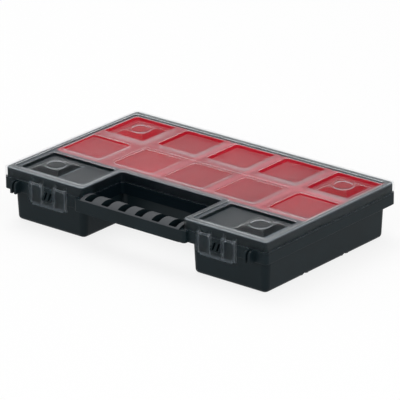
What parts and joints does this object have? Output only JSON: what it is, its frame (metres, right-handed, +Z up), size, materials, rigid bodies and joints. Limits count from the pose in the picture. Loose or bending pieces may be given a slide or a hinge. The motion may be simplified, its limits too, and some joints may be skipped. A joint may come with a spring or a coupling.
{
  "type": "compartment organizer case",
  "caption": "Flat case with a dark drafted tray, a handle across a front recess, a clear hinged lid held by clear latches, and loose red boxes on a grid inside.",
  "frame": {"origin": "middle of the flat underside that the tray rests on", "axes": "+X along the length, -Y towards the handle and latches, +Y towards the hinges, +Z up"},
  "size_m": [0.39, 0.2576, 0.068],
  "materials": {
    "tray_black": "fine moulded texture",
    "lid_clear": "clear, with frosted window floors",
    "latch_clear": "clear",
    "box_red": "satin",
    "pin_steel": "drawn wire"
  },
  "bodies": {
    "tray": {"base_tray": "tray_black", "box_large": "box_red", "box_long": "box_red", "box_small_1": "box_red", "box_small_2": "box_red", "box_small_3": "box_red", "box_small_4": "box_red", "hinge_pin_left": "pin_steel", "hinge_pin_right": "pin_steel"},
    "lid": {"lid": "lid_clear"},
    "latch_left": {"latch_left": "latch_clear"},
    "latch_right": {"latch_right": "latch_clear"}
  },
  "joints": [
    {"name": "lid_hinge", "type": "hinge", "parent": "tray", "child": "lid", "pos_m": [0, 0.1246, 0.055], "axis": [-1, 0, 0], "range_deg": [0, 180]},
    {"name": "latch_left_hinge", "type": "hinge", "parent": "lid", "child": "latch_left", "pos_m": [-0.1252, -0.12335, 0.0574], "axis": [-1, 0, 0], "range_deg": [0, 110]},
    {"name": "latch_right_hinge", "type": "hinge", "parent": "lid", "child": "latch_right", "pos_m": [0.1252, -0.12335, 0.0574], "axis": [-1, 0, 0], "range_deg": [0, 110]}
  ]
}
